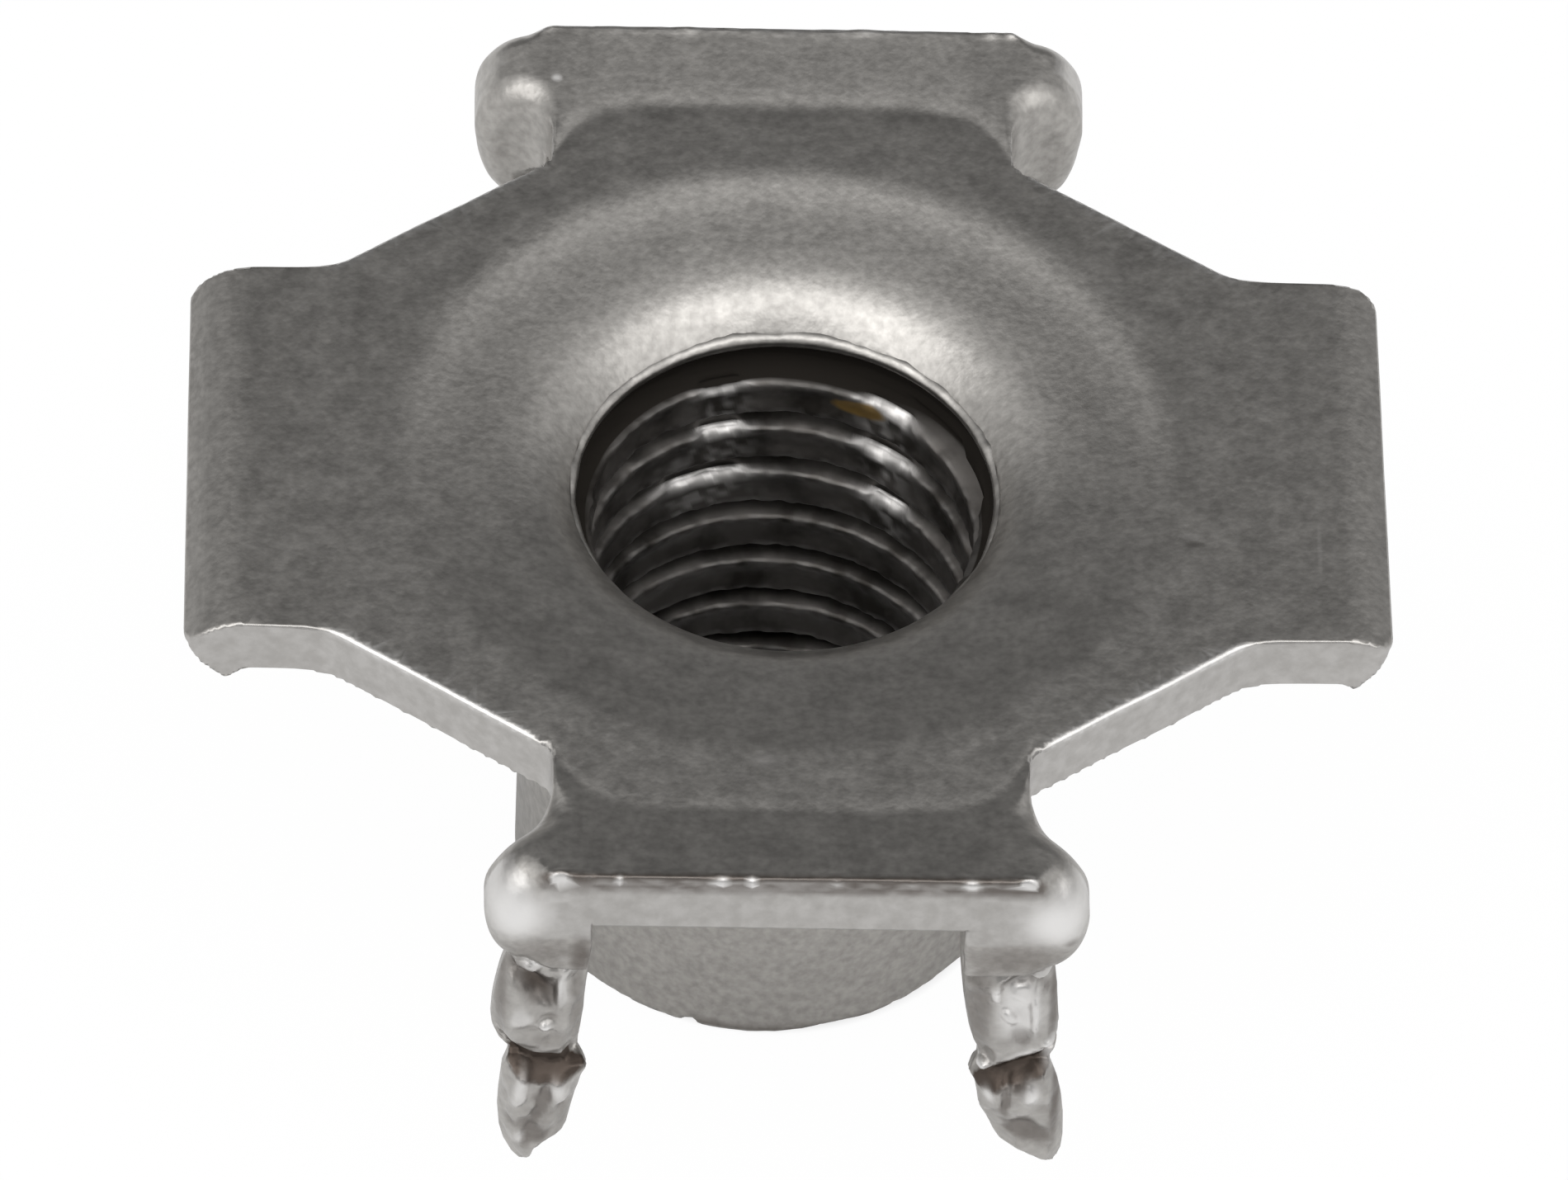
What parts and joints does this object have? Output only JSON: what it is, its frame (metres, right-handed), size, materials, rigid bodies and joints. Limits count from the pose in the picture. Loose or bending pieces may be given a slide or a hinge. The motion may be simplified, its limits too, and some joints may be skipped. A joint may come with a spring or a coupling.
{
  "type": "tee nut",
  "caption": "Pronged tee nut for wood with a winged flange, a drawn threaded barrel and barbed corner prongs, stamped in zinc-plated sheet steel.",
  "frame": {"origin": "centre of the barrel's open end, on the thread's axis", "axes": "+Z along the thread's axis from the barrel's end to the flange, X along the two wings, Y along the two pronged tabs"},
  "size_m": [0.027, 0.0264, 0.0137],
  "materials": {
    "zinc_steel": "satin, zinc-plated"
  },
  "bodies": {
    "root": {"tee_nut": "zinc_steel"}
  },
  "joints": []
}
